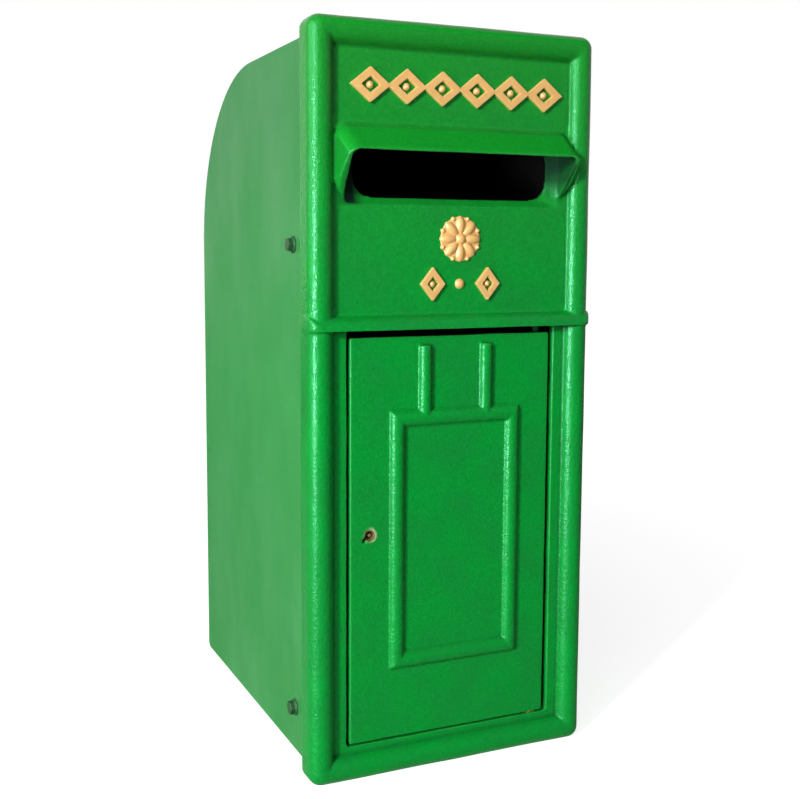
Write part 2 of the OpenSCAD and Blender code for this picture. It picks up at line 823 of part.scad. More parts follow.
// Lever outline in X and Z, from its pivot at the origin towards the bolt's head
module lever_outline() {
    eye_r = lever_post_r + lever_eye;
    arm_end = lever_reach - eye_r;
    pocket_low = stump_rise - stump / 2 - lever_lift - pocket_gap;
    pocket_h = stump + 2 * lever_lift + pocket_gap;
    gate_low = stump_rise - stump / 2 - lever_lift + slide_gap;
    gate_h = stump + lever_lift;
    gate_left = stump_reach + stump / 2 + bolt_throw / 2;
    difference() {
        union() {
            circle(eye_r);
            translate([-lever_reach, -lever_drop]) square([arm_end + eye_r / 2, lever_drop + lever_rise]);
            translate([-eye_r, -eye_r]) square([eye_r, 2 * eye_r]);
        }
        circle(lever_post_r + pin_run);
        translate([-stump_reach - stump / 2 - pocket_gap, pocket_low])
            square([stump + 2 * pocket_gap, pocket_h]);
        translate([-gate_left, gate_low]) square([bolt_throw / 2, gate_h]);
        translate([-lever_reach - over, pocket_low]) square([lever_reach + over - gate_left, pocket_h]);
    }
}

module lever(index) {
    y = lever_y + index * lever_pitch;
    color(brass) at_seat() translate([lever_x, 0, bar_mid_z]) slab_y(y, y + lever_t) lever_outline();
}

module lever_front() lever(0);

module lever_middle() lever(1);

module lever_rear() lever(2);

module lever_post() color(steel) at_seat()
    translate([lever_x, 0, bar_mid_z]) rod_y(lever_post_r, -door_back, cap_y);

// A point along a leaf spring, from its root at the top of the lock case to its tip on a lever
function leaf(t) = [
    lever_x - leaf_span * t,
    lock_top - lock_wall - leaf_t - (lock_top - lock_wall - leaf_t - lever_top) * t * t];

// One leaf spring for each lever
module lever_springs() color(brass) at_seat() {
    steps = 8;
    for (index = [0 : lever_count - 1]) {
        y = lever_y + index * lever_pitch;
        slab_y(y, y + lever_t) polygon(concat(
            [for (k = [0 : steps]) leaf(k / steps)],
            [for (k = [steps : -1 : 0]) leaf(k / steps) + [0, leaf_t]]));
    }
}

module drill_pin() color(brass) at_seat() translate([key_x, 0, key_z])
    rod_y(drill_pin_r, over - lower_face, cap_y + lock_wall);

module lock_screws() color(steel) at_seat() screw_places() {
    rod_y(lock_screw_r, screw_blind + screw_gap - lower_face, lock_floor);
    translate([0, lock_floor, 0]) screw_head(lock_screw_r);
}

module cap_screws() color(steel) at_seat() post_places() {
    rod_y(cap_screw_r, lock_floor + over, cap_y + lock_wall);
    translate([0, cap_y + lock_wall, 0]) screw_head(cap_screw_r);
}

front_casting();
door();
side_plate_left();
side_plate_right();
wrapped_sheet();
case_bolts();
nut_washers();
case_nuts();
upper_hinge_pin();
lower_hinge_pin();
hinge_washer();
lock_case();
lock_cap();
lock_bolt();
lever_front();
lever_middle();
lever_rear();
lever_post();
lever_springs();
drill_pin();
lock_screws();
cap_screws();
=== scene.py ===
"""Letter box: the finish of every surface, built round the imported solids.

Lengths are metres unless a name ends in _mm. X runs to the viewer's right, the front faces -Y, Z is up.
"""
import json
import math

import bmesh
import bpy
import numpy as np
from mathutils import Euler, Matrix, Vector, noise
from mathutils.bvhtree import BVHTree


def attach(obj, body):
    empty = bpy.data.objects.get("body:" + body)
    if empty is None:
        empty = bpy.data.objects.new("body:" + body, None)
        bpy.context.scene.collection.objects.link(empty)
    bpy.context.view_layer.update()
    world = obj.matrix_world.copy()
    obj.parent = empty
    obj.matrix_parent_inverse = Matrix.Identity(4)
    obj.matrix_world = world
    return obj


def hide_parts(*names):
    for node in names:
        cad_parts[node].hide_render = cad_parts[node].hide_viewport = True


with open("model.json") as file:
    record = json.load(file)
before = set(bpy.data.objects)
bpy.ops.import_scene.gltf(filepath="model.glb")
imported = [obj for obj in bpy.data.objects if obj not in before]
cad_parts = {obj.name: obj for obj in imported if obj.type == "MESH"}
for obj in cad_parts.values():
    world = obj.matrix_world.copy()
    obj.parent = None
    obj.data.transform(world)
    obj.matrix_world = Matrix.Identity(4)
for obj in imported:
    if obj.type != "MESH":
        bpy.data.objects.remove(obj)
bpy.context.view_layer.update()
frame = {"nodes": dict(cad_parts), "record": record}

MM = 0.001

# The photograph's camera, fitted to the edges of the box
IMAGE_W, IMAGE_H = 800, 799
FOCAL_PX = 1112.1
PRINCIPAL_X, PRINCIPAL_Y = 360.3, 365.8
CAMERA_PLACE = (-0.4080, -0.9078, 0.4111)
CAMERA_YAW, CAMERA_PITCH, CAMERA_ROLL = 23.26, 5.96, 0.10
SENSOR_MM = 36

# How finely the two castings are remeshed, and how many triangles each may keep
CAST_VOXEL_MM = 1.0
CAST_TRIANGLES = 190000
DOOR_VOXEL_MM = 0.8
DOOR_TRIANGLES = 170000

# The middle of the keyhole, where keys have scratched the paint
KEYHOLE_PLACE = (-0.0705, 0, 0.1925)

# Where the tops of the ledge and the hood meet the panel: the painted shade of the hollows is left off these
# corners
LEDGE_ROOT = 0.3625
HOOD_ROOT = 0.5050

# Points nearer than this are one, and faces within this angle of each other are one face
WELD_MM = 0.001
FLAT_DEG = 0.5

# A face of a sheet whose normal has a part along an axis greater than this is shaded flat
SQUARE_ON = 0.99999
# A place inside the case: faces of the sheets that look towards it are the inner ones
CASE_MIDDLE = (0, 0, 0.28)

# How finely bolts and gold ornament are remeshed
FINE_VOXEL_MM = 0.4

# Heads and washers of the case bolts, how deep both reach into the case, and how dark they are
HEAD_R_MM, HEAD_H_MM = 5.6, 5.5
WASHER_R_MM, WASHER_H_MM = 6.8, 1.2
BOLT_SUNK_MM = 0.5
BOLT_DARKENING = 0.75
# The height between the lower and the upper pair of bolts
SPLIT_Z_MM = 250

# Raised gold ornament on the upper panel
RELIEF_MM = 3.0
SUNK_MM = 0.6
FRIEZE_LEFT_MM, FRIEZE_RIGHT_MM = -87, 92
FRIEZE_Z_MM = 532
FRIEZE_H_MM = 26
FRIEZE_LINKS = 6
STROKE_MM = 5.4
ROSETTE_X_MM, ROSETTE_Z_MM = 4.5, 419.5
ROSETTE_R_MM = 19
ROW_Z_MM = 385
ROW_PITCH_MM = 24
# Neighbouring faces of a drawn outline within this angle, in radians, are one face
COPLANAR = 0.01

# What most of the lamps face
BOX_FRONT = (0, -0.14, 0.3)


def linear(hex_colour):
    """An sRGB hex colour as the linear RGBA that a shader takes."""
    parts = [int(hex_colour[i:i + 2], 16) / 255 for i in (1, 3, 5)]
    return [c / 12.92 if c <= 0.04045 else ((c + 0.055) / 1.055) ** 2.4 for c in parts] + [1]


def per(mm):
    """The scale at which a pattern on coordinates in metres repeats about every so many millimetres."""
    return 1000 / mm


def add(tree, kind, inputs=None, **settings):
    """A node with its settings. Inputs are values or other nodes' outputs, by socket name or number."""
    made = tree.nodes.new(kind)
    for name, value in settings.items():
        setattr(made, name, value)
    for key, value in (inputs or {}).items():
        if isinstance(value, bpy.types.NodeSocket):
            tree.links.new(value, made.inputs[key])
        else:
            made.inputs[key].default_value = value
    return made


def new_material(name):
    """An empty material, its tree and its object coordinates."""
    material = bpy.data.materials.new(name)
    material.use_nodes = True
    tree = material.node_tree
    tree.nodes.clear()
    return material, tree, add(tree, "ShaderNodeTexCoord").outputs["Object"]


def put_on(tree, shader):
    add(tree, "ShaderNodeOutputMaterial", {"Surface": shader.outputs[0]})


def ramp(tree, value, start, end, first=0.0, last=1.0):
    """Runs from a first level to a last one while the value runs from start to end."""
    return add(tree, "ShaderNodeMapRange", {"Value": value, "From Min": start, "From Max": end,
                                            "To Min": first, "To Max": last}).outputs[0]


def combined(tree, operation, total, *others):
    """Values taken together by one operation, one after the other."""
    for other in others:
        total = add(tree, "ShaderNodeMath", {0: total, 1: other}, operation=operation).outputs[0]
    return total


def moved(tree, operation, vector, other=None):
    """A vector after an operation, with another vector where it takes one."""
    inputs = {0: vector} if other is None else {0: vector, 1: other}
    return add(tree, "ShaderNodeVectorMath", inputs, operation=operation)


def axes_of(tree, vector):
    """The X, Y and Z of a vector."""
    return add(tree, "ShaderNodeSeparateXYZ", {"Vector": vector}).outputs


def blend(tree, share, base, tint):
    """A base colour, a hex colour or another node's output, that gives way to a hex tint."""
    base = linear(base) if isinstance(base, str) else base
    return add(tree, "ShaderNodeMix", {"Factor": share, "A": base, "B": linear(tint)},
               data_type="RGBA").outputs["Result"]


def grain(tree, place, size_mm, detail=2.0, roughness=0.5):
    """Soft noise, its patches about as large as the size."""
    return add(tree, "ShaderNodeTexNoise", {"Vector": place, "Scale": per(size_mm), "Detail": detail,
                                            "Roughness": roughness}).outputs["Fac"]


def stretched(tree, place, scale):
    """Coordinates scaled by axis. A small number draws a pattern out into lines along that axis."""
    return add(tree, "ShaderNodeMapping", {"Vector": place, "Scale": scale}).outputs[0]


def stored(tree, name):
    """A value from 0 to 1 that a mesh carries under a name. It is 0 where a mesh has none."""
    return add(tree, "ShaderNodeAttribute", attribute_name=name).outputs["Fac"]


def raised(tree, height, size_mm, under=None):
    """The normals of a bumpy surface, laid over the bumps under it."""
    inputs = {"Height": height, "Distance": size_mm * MM}
    if under is not None:
        inputs["Normal"] = under
    return add(tree, "ShaderNodeBump", inputs).outputs[0]


# Materials

def slot_end_shade_mask(tree, x, y, z, up):
    """Painted shade at both ends of the posting slot. It stands in for shadow there, under any lamp."""
    under_hood = ramp(tree, z, 497 * MM, 494 * MM)
    left_end = ramp(tree, x, -76 * MM, -84 * MM)
    left_limit = ramp(tree, x, -97 * MM, -96 * MM)
    behind_panel = ramp(tree, y, -143.5 * MM, -142.5 * MM)
    over_sill = ramp(tree, z, 443 * MM, 446 * MM)
    right_end = ramp(tree, x, 66 * MM, 76 * MM)
    right_limit = ramp(tree, x, 96.6 * MM, 96.2 * MM)
    behind_lip = ramp(tree, y, -167 * MM, -164 * MM)
    rising = ramp(tree, z, 447 * MM, 466 * MM, last=0.8)
    covered = ramp(tree, up, 0.3, 0.1)
    left = combined(tree, "MULTIPLY", left_end, left_limit, behind_panel, over_sill, under_hood)
    right = combined(tree, "MULTIPLY", right_end, right_limit, behind_lip, rising, under_hood, covered)
    return combined(tree, "MAXIMUM", left, right)


def gloss_enamel_on_cast_iron():
    """Oil enamel brushed thickly over sand-cast iron: a wet shine over soft lumps and grains of sand."""
    material, tree, place = new_material("gloss_enamel_on_cast_iron")
    x, y, z = axes_of(tree, place)
    up = axes_of(tree, add(tree, "ShaderNodeTexCoord").outputs["Normal"])["Z"]
    ridge, hollow = stored(tree, "ridge"), stored(tree, "hollow")

    # Green in blotches, yellower towards the top of the box, clear and dull on the slope of the hood, where the
    # clear green is painted shade for the dark above the slope
    blotch = grain(tree, place, 34, 4.0)
    colour = blend(tree, ramp(tree, blotch, 0.38, 0.62), "#0C8C34", "#029432")
    colour = blend(tree, ramp(tree, z, 0.34, 0.56, last=0.8), colour, "#1E8826")
    slope_shade = combined(tree, "MULTIPLY", ramp(tree, up, 0.15, 0.45), ramp(tree, y, -148 * MM, -150 * MM),
                         ramp(tree, z, 440 * MM, 444 * MM))
    colour = blend(tree, slope_shade, colour, "#009418")

    # Dark grains of sand all over, and a pale painted highlight along the ridges, where the paint also lies
    # thin
    speck = grain(tree, place, 2.4)
    colour = blend(tree, ramp(tree, speck, 0.35, 0.65, last=0.32), colour, "#04701F")
    colour = blend(tree, ramp(tree, ridge, 0.12, 0.55, last=0.35), colour, "#4FA862")

    # Painted shade in the hollows, darkening them, but not in the corners at the tops of the ledge and the hood
    hollow_shade = ramp(tree, hollow, 0.05, 0.45, last=0.85)
    for root in (LEDGE_ROOT, HOOD_ROOT):
        above = combined(tree, "SUBTRACT", z, root)
        off = add(tree, "ShaderNodeMath", {0: above}, operation="ABSOLUTE").outputs[0]
        hollow_shade = combined(tree, "MULTIPLY", hollow_shade, ramp(tree, off, 4 * MM, 7 * MM))
    colour = blend(tree, hollow_shade, colour, "#01300A")

    # Chips along the ridges
    ragged = grain(tree, place, 5, 4.0)
    chip = combined(tree, "MULTIPLY", ridge, ragged)
    colour = blend(tree, ramp(tree, chip, 0.34, 0.42, last=0.6), colour, "#9CC796")

    # Scratches round the keyhole, nearly all on its right, and rust at its rim, both with ragged edges
    from_key = moved(tree, "SUBTRACT", place, KEYHOLE_PLACE).outputs[0]
    flat = moved(tree, "MULTIPLY", from_key, (1, 0, 1)).outputs[0]
    reach = moved(tree, "LENGTH", flat).outputs["Value"]
    bite = add(tree, "ShaderNodeMath", {0: ragged, 1: 5 * MM, 2: -2.5 * MM}, operation="MULTIPLY_ADD")
    edge = combined(tree, "ADD", reach, bite.outputs[0])
    scratched = ramp(tree, edge, 4.8 * MM, 6.6 * MM, 0.9, 0.0)
    right_side = ramp(tree, axes_of(tree, from_key)["X"], -1.5 * MM, 3 * MM, first=0.12)
    colour = blend(tree, combined(tree, "MULTIPLY", scratched, right_side), colour, "#B9C79A")
    colour = blend(tree, ramp(tree, edge, 3.9 * MM, 4.9 * MM, 0.9, 0.0), colour, "#5B3A1C")

    # Painted shade: near black at both ends of the posting slot, under the hood
    slot_end_shade = slot_end_shade_mask(tree, x, y, z, up)
    colour = blend(tree, slot_end_shade, colour, "#010A03")

    # Rougher towards the foot, and nearly matt where the painted shade lies: in the hollows, on the slope of
    # the hood and at the ends of the slot
    shine = combined(tree, "ADD", ramp(tree, blotch, 0.3, 0.7, 0.17, 0.25),
                     ramp(tree, z, 0.38, 0.12, last=0.15))
    matt = combined(tree, "MAXIMUM", hollow_shade, slope_shade, slot_end_shade)
    roughness = combined(tree, "MAXIMUM", shine, combined(tree, "MULTIPLY", matt, 0.95))

    lumps = raised(tree, grain(tree, place, 9), 0.35)
    pits = raised(tree, speck, 0.28, lumps)
    sand = raised(tree, grain(tree, place, 1.2, 1.0), 0.14, pits)
    put_on(tree, add(tree, "ShaderNodeBsdfPrincipled", {
        "Base Color": colour, "Roughness": roughness, "IOR": 1.5, "Specular IOR Level": 0.16,
        "Specular Tint": linear("#A8FFE6"), "Normal": sand}))
    return material


def satin_enamel_on_sheet_steel():
    """Thin enamel on rolled sheet, gone satin: soft cloudy patches, faint level brush marks, a dented sheen."""
    material, tree, place = new_material("satin_enamel_on_sheet_steel")
    clouds = grain(tree, stretched(tree, place, (1, 1, 0.6)), 95, 4.0, 0.55)
    colour = blend(tree, ramp(tree, clouds, 0.38, 0.62), "#257F38", "#3E9650")
    strokes = grain(tree, stretched(tree, place, (1, 0.05, 1)), 2.4)
    colour = blend(tree, strokes, colour, "#2E8C42")
    # Painted shade: darker towards the top of the case
    colour = blend(tree, ramp(tree, axes_of(tree, place)["Z"], 0.30, 0.52, last=0.62), colour, "#0E6426")
    # Dark primer inside the case. The bolts carry the same mark, which darkens them
    colour = blend(tree, stored(tree, "inside"), colour, "#1B211C")
    dents = raised(tree, grain(tree, place, 70, 1.0), 1.2)
    put_on(tree, add(tree, "ShaderNodeBsdfPrincipled", {
        "Base Color": colour, "Roughness": ramp(tree, clouds, 0.35, 0.65, 0.50, 0.36), "IOR": 1.5,
        "Specular IOR Level": 0.16, "Normal": raised(tree, strokes, 0.05, dents)}))
    return material


def hand_laid_gold_paint():
    """Gold signwriter's paint over raised iron: warm tan, a painted highlight along the ridges and painted
    shade, a little brown, in the hollows.
    """
    material, tree, place = new_material("hand_laid_gold_paint")
    colour = blend(tree, grain(tree, place, 6, 3.0), "#D79F58", "#E8BC78")
    # Painted highlight on the ridges and painted shade in the hollows
    colour = blend(tree, ramp(tree, stored(tree, "ridge"), 0.05, 0.5, last=0.75), colour, "#EED79A")
    colour = blend(tree, ramp(tree, stored(tree, "hollow"), 0.05, 0.4, last=0.8), colour, "#9A5A22")
    put_on(tree, add(tree, "ShaderNodeBsdfPrincipled", {
        "Base Color": colour, "Roughness": 0.42, "Specular IOR Level": 0.4,
        "Normal": raised(tree, grain(tree, place, 1.6), 0.10)}))
    return material


def zinc_plated_steel():
    """Bright zinc on turned steel: cool grey with a faint mottled bloom."""
    material, tree, place = new_material("zinc_plated_steel")
    bloom = add(tree, "ShaderNodeTexVoronoi", {"Vector": place, "Scale": per(2.5)}).outputs["Distance"]
    put_on(tree, add(tree, "ShaderNodeBsdfPrincipled", {
        "Base Color": blend(tree, bloom, "#B9BDBD", "#8E9292"), "Metallic": 1.0,
        "Roughness": ramp(tree, bloom, 0.0, 1.0, 0.30, 0.45)}))
    return material


def pressed_steel():
    """Cold-rolled lock steel, dull and oily, with the fine lines of rolling along Z."""
    material, tree, place = new_material("pressed_steel")
    lines = grain(tree, stretched(tree, place, (1, 1, 0.03)), 0.6)
    put_on(tree, add(tree, "ShaderNodeBsdfPrincipled", {
        "Base Color": blend(tree, lines, "#6E6F70", "#979899"), "Metallic": 1.0, "Roughness": 0.42,
        "Normal": raised(tree, lines, 0.02)}))
    return material


def filed_brass():
    """Sawn and filed brass, a little tarnished, with cross marks of the file."""
    material, tree, place = new_material("filed_brass")
    marks = grain(tree, stretched(tree, place, (0.05, 1, 1)), 0.5)
    put_on(tree, add(tree, "ShaderNodeBsdfPrincipled", {
        "Base Color": blend(tree, grain(tree, place, 8, 3.0), "#8C6A34", "#CFA75A"), "Metallic": 1.0,
        "Roughness": 0.34, "Normal": raised(tree, marks, 0.02)}))
    return material


def pale_studio_floor():
    """Matt white board with a glow that only the camera sees, so that it runs into the background."""
    material, tree, place = new_material("pale_studio_floor")
    board = add(tree, "ShaderNodeBsdfDiffuse", {"Color": linear("#EFEFEF")})
    seen = add(tree, "ShaderNodeLightPath")
    away = moved(tree, "LENGTH", place).outputs["Value"]
    glow = add(tree, "ShaderNodeEmission", {"Color": linear("#FFFFFF"),
                                            "Strength": ramp(tree, away, 0.3, 1.2, first=0.84)})
    dark = add(tree, "ShaderNodeEmission", {"Strength": 0.0})
    lift = add(tree, "ShaderNodeMixShader", {0: seen.outputs["Is Camera Ray"], 1: dark.outputs[0],
                                             2: glow.outputs[0]})
    put_on(tree, add(tree, "ShaderNodeAddShader", {0: board.outputs[0], 1: lift.outputs[0]}))
    return material


MATERIALS = {
    "cast_paint": gloss_enamel_on_cast_iron(),
    "case_paint": satin_enamel_on_sheet_steel(),
    "gilt_paint": hand_laid_gold_paint(),
    "zinc_steel": zinc_plated_steel(),
    "lock_steel": pressed_steel(),
    "lock_brass": filed_brass(),
}


# Meshes

def new_object(name, mesh):
    made = bpy.data.objects.new(name, mesh)
    bpy.context.scene.collection.objects.link(made)
    return made


def mesh_object(name, mesh):
    """An object of a bmesh, which is freed."""
    made = bpy.data.meshes.new(name)
    mesh.to_mesh(made)
    mesh.free()
    return new_object(name, made)


def finished(made, name):
    """The object with its modifiers made real, in a plain mesh of its own."""
    depsgraph = bpy.context.evaluated_depsgraph_get()
    mesh = bpy.data.meshes.new_from_object(made.evaluated_get(depsgraph))
    bpy.data.objects.remove(made)
    mesh.name = name
    return new_object(name, mesh)


def welded(node):
    """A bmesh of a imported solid, with the corners of its triangles joined."""
    mesh = bmesh.new()
    mesh.from_mesh(frame["nodes"][node].data)
    bmesh.ops.remove_doubles(mesh, verts=mesh.verts, dist=WELD_MM * MM)
    return mesh


def merged_copy(node, name):
    """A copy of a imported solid's mesh, its loose triangles merged into whole flat faces."""
    mesh = welded(node)
    bmesh.ops.dissolve_limit(mesh, angle_limit=math.radians(FLAT_DEG), verts=mesh.verts, edges=mesh.edges)
    return mesh_object(name, mesh)


def vectors(points, name):
    """A vector property of a mesh's points, as rows."""
    values = np.empty(len(points) * 3)
    points.foreach_get(name, values)
    return values.reshape(-1, 3)


def mark(mesh, name, domain, values):
    """Stores a value from 0 to 1 for each point or face, under a name that the materials read."""
    mesh.attributes.new(name, "FLOAT", domain).data.foreach_set("value", values)


def mark_curvature(mesh, reach_mm, passes):
    """Marks how far each point lies on a ridge and in a hollow, for worn paint, painted highlight and painted
    shade.
    """
    places, normals = vectors(mesh.vertices, "co"), vectors(mesh.vertices, "normal")
    pairs = np.empty(len(mesh.edges) * 2, dtype=np.int64)
    mesh.edges.foreach_get("vertices", pairs)
    pairs = pairs.reshape(-1, 2)
    count = np.maximum(np.bincount(pairs.ravel(), minlength=len(places)), 1)
    smooth = places.copy()
    for _ in range(passes):
        total = np.zeros_like(smooth)
        np.add.at(total, pairs[:, 0], smooth[pairs[:, 1]])
        np.add.at(total, pairs[:, 1], smooth[pairs[:, 0]])
        smooth = total / count[:, None]
    depth = np.einsum("ij,ij->i", smooth - places, normals) / (reach_mm * MM)
    for name, sign in (("ridge", -1), ("hollow", 1)):
        mark(mesh, name, "POINT", np.clip(sign * depth, 0, 1).astype(np.float32))


def wander(mesh, wave_mm, size_mm, seed):
    """Moves each point a little along its normal, as no casting or sheet is quite true."""
    shift = Vector((seed, 2.3 * seed, 3.7 * seed))
    normals = [v.normal.copy() for v in mesh.vertices]
    for point, normal in zip(mesh.vertices, normals):
        point.co += normal * (noise.noise(point.co * per(wave_mm) + shift) * size_mm * MM)
    mesh.update()


def shade_smooth(mesh):
    mesh.polygons.foreach_set("use_smooth", [True] * len(mesh.polygons))


def add_skin(piece, voxel_mm, passes):
    """Modifiers that remake a piece as one skin with soft edges."""
    remesh = piece.modifiers.new("remesh", "REMESH")
    remesh.mode = "VOXEL"
    remesh.voxel_size = voxel_mm * MM
    soften = piece.modifiers.new("soften", "SMOOTH")
    soften.factor = 0.5
    soften.iterations = passes


def softened_casting(node, name, voxel_mm, triangles, seed):
    """A casting with its edges rounded and its corners filled, as iron leaves the sand and takes its paint."""
    body = merged_copy(node, name + "_sharp")
    add_skin(body, voxel_mm, 4)
    thin = body.modifiers.new("thin", "DECIMATE")
    depsgraph = bpy.context.evaluated_depsgraph_get()
    thin.ratio = 1
    full = sum(len(p.vertices) - 2 for p in body.evaluated_get(depsgraph).data.polygons)
    thin.ratio = min(1, triangles / full)
    made = finished(body, name)
    wander(made.data, 38, 0.30, seed)
    mark_curvature(made.data, 1.6, 6)
    shade_smooth(made.data)
    return made


def softened_sheet(node, name, edge_mm, segments):
    """Sheet metal with its cut edges eased and its inner faces marked."""
    sheet = merged_copy(node, name + "_sharp")
    ease = sheet.modifiers.new("ease", "BEVEL")
    ease.width = edge_mm * MM
    ease.segments = segments
    ease.limit_method = "ANGLE"
    ease.angle_limit = math.radians(50)
    ease.harden_normals = True
    made = finished(sheet, name)
    faces = made.data.polygons
    faces.foreach_set("use_smooth", [max(map(abs, face.normal)) < SQUARE_ON for face in faces])
    middle = Vector(CASE_MIDDLE)
    mark(made.data, "inside", "FACE", [float(face.normal.dot(middle - face.center) > 0) for face in faces])
    return made


def hand_over(piece, body, slot, *nodes):
    """Gives a piece its finish and its body, and hides the nodes that it stands for."""
    piece.data.materials.clear()
    piece.data.materials.append(MATERIALS[slot])
    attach(piece, body)
    if nodes:
        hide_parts(*nodes)


# Castings

front = softened_casting("front_casting", "cast_front", CAST_VOXEL_MM, CAST_TRIANGLES, 1)
door = softened_casting("door", "cast_door", DOOR_VOXEL_MM, DOOR_TRIANGLES, 2)

# Sheet-steel case

left_sheet = softened_sheet("side_plate_left", "case_side_left", 0.8, 3)
right_sheet = softened_sheet("side_plate_right", "case_side_right", 0.8, 3)
round_sheet = softened_sheet("wrapped_sheet", "case_wrap", 0.2, 2)


# Bolts of the case and pins of the door

def painted_bolts():
    """The case bolts with six-sided heads on washers, their edges drowned in paint."""
    mesh = welded("case_bolts")
    points = [v.co.copy() for v in mesh.verts]
    skin = max(abs(v.co.x) for v in right_sheet.data.vertices)
    for right in (False, True):
        for upper in (False, True):
            own = [p for p in points if (p.x > 0) == right and (p.z > SPLIT_Z_MM * MM) == upper]
            y, z = ((min(p[i] for p in own) + max(p[i] for p in own)) / 2 for i in (1, 2))
            for sides, radius, tall in ((6, HEAD_R_MM, HEAD_H_MM), (32, WASHER_R_MM, WASHER_H_MM)):
                depth = (tall + BOLT_SUNK_MM) * MM
                x = (skin - BOLT_SUNK_MM * MM + depth / 2) * (1 if right else -1)
                upright = Matrix.Translation((x, y, z)) @ Matrix.Rotation(math.pi / 2, 4, "Y")
                bmesh.ops.create_cone(mesh, cap_ends=True, segments=sides, radius1=radius * MM,
                                      radius2=radius * MM, depth=depth, matrix=upright)
    made = mesh_object("case_bolts_sharp", mesh)
    add_skin(made, FINE_VOXEL_MM, 3)
    made = finished(made, "case_bolts_painted")
    shade_smooth(made.data)
    mark(made.data, "inside", "FACE", [BOLT_DARKENING] * len(made.data.polygons))
    return made


def pin_in_painted_shade(node):
    """A hinge pin, marked to take the painted shade of a casting's hollows, which makes it dark and dull all
    over.
    """
    made = merged_copy(node, node + "_greasy")
    shade_smooth(made.data)
    mark(made.data, "hollow", "POINT", [1.0] * len(made.data.vertices))
    return made


# Gold ornament

def panel_face(x_mm, z_mm):
    """Where the front of the casting stands at a place on its panel."""
    mesh = frame["nodes"]["front_casting"].data
    tree = BVHTree.FromPolygons([v.co for v in mesh.vertices], [p.vertices for p in mesh.polygons])
    hit, _, _, _ = tree.ray_cast(Vector((x_mm * MM, -1, z_mm * MM)), Vector((0, 1, 0)))
    return hit.y


def relief(outline, holes, height_mm):
    """A raised shape on the XY plane, from an outline and its holes in millimetres."""
    mesh = bmesh.new()
    edges = []
    for loop in [outline] + holes:
        points = [mesh.verts.new((x, y, 0)) for x, y in loop]
        edges += [mesh.edges.new((points[i], points[(i + 1) % len(points)])) for i in range(len(points))]
    bmesh.ops.triangle_fill(mesh, edges=edges, use_beauty=True)
    bmesh.ops.dissolve_limit(mesh, angle_limit=COPLANAR, verts=mesh.verts, edges=mesh.edges)
    grown = bmesh.ops.extrude_face_region(mesh, geom=list(mesh.faces))
    top = [g for g in grown["geom"] if isinstance(g, bmesh.types.BMVert)]
    bmesh.ops.translate(mesh, verts=top, vec=(0, 0, height_mm))
    bmesh.ops.recalc_face_normals(mesh, faces=mesh.faces)
    return mesh


def diamond(half_w, half_h):
    return [(half_w, 0), (0, half_h), (-half_w, 0), (0, -half_h)]


def ring_lozenge(w_mm, h_mm, stroke_mm):
    """A lozenge frame of even stroke."""
    a, b = w_mm / 2, h_mm / 2
    shrink = 1 - stroke_mm * math.hypot(a, b) / (a * b)
    return relief(diamond(a, b), [diamond(a * shrink, b * shrink)], RELIEF_MM + SUNK_MM)


def disc(r_mm):
    steps = 48
    return [(r_mm * math.cos(2 * math.pi * i / steps), r_mm * math.sin(2 * math.pi * i / steps))
            for i in range(steps)]


def repeat_tree(name, around):
    """Copies of a motif along X, or turned round Z."""
    tree = bpy.data.node_groups.new(name, "GeometryNodeTree")
    for socket, kind in (("Motif", "Object"), ("Count", "Int"), ("Step", "Float"), ("Finish", "Material")):
        tree.interface.new_socket(socket, in_out="INPUT", socket_type="NodeSocket" + kind)
    tree.interface.new_socket("Geometry", in_out="OUTPUT", socket_type="NodeSocketGeometry")
    given = add(tree, "NodeGroupInput")
    motif = add(tree, "GeometryNodeObjectInfo", {"Object": given.outputs["Motif"]})
    index = add(tree, "GeometryNodeInputIndex")
    along = add(tree, "ShaderNodeMath", {0: index.outputs[0], 1: given.outputs["Step"]}, operation="MULTIPLY")
    points = add(tree, "GeometryNodePoints", {"Count": given.outputs["Count"]})
    step = add(tree, "ShaderNodeCombineXYZ", {"Z" if around else "X": along.outputs[0]})
    inputs = {"Points": points.outputs[0], "Instance": motif.outputs["Geometry"]}
    if around:
        inputs["Rotation"] = step.outputs[0]
    else:
        spread = add(tree, "GeometryNodeSetPosition", {"Geometry": points.outputs[0],
                                                       "Position": step.outputs[0]})
        inputs["Points"] = spread.outputs[0]
    copies = add(tree, "GeometryNodeInstanceOnPoints", inputs)
    real = add(tree, "GeometryNodeRealizeInstances", {0: copies.outputs[0]})
    dressed = add(tree, "GeometryNodeSetMaterial", {"Geometry": real.outputs[0],
                                                    "Material": given.outputs["Finish"]})
    add(tree, "NodeGroupOutput", {"Geometry": dressed.outputs[0]})
    return tree


def repeated(name, motif, tree, count, step):
    """A plain mesh of a motif's copies."""
    carrier = new_object(name + "_points", bpy.data.meshes.new(name))
    modifier = carrier.modifiers.new("repeat", "NODES")
    modifier.node_group = tree
    values = {"Motif": motif, "Count": count, "Step": step, "Finish": MATERIALS["gilt_paint"]}
    for socket in tree.interface.items_tree:
        if socket.in_out == "INPUT":
            modifier[socket.identifier] = values[socket.name]
    made = finished(carrier, name)
    bpy.data.objects.remove(motif)
    return made


row_of = repeat_tree("row_of_motifs", around=False)
ring_of = repeat_tree("ring_of_motifs", around=True)


def boss(r_mm, h_mm, length_mm=None):
    """A pearl, or an egg where it has a length along Y."""
    mesh = bmesh.new()
    bmesh.ops.create_uvsphere(mesh, u_segments=24, v_segments=12, radius=1)
    bmesh.ops.scale(mesh, vec=(r_mm, length_mm or r_mm, h_mm), verts=mesh.verts)
    return mesh


def joined(name, parts):
    """Several objects as one mesh, each moved by its own matrix first."""
    mesh = bmesh.new()
    for part, matrix in parts:
        part.data.transform(matrix)
        mesh.from_mesh(part.data)
        bpy.data.objects.remove(part)
    return mesh_object(name, mesh)


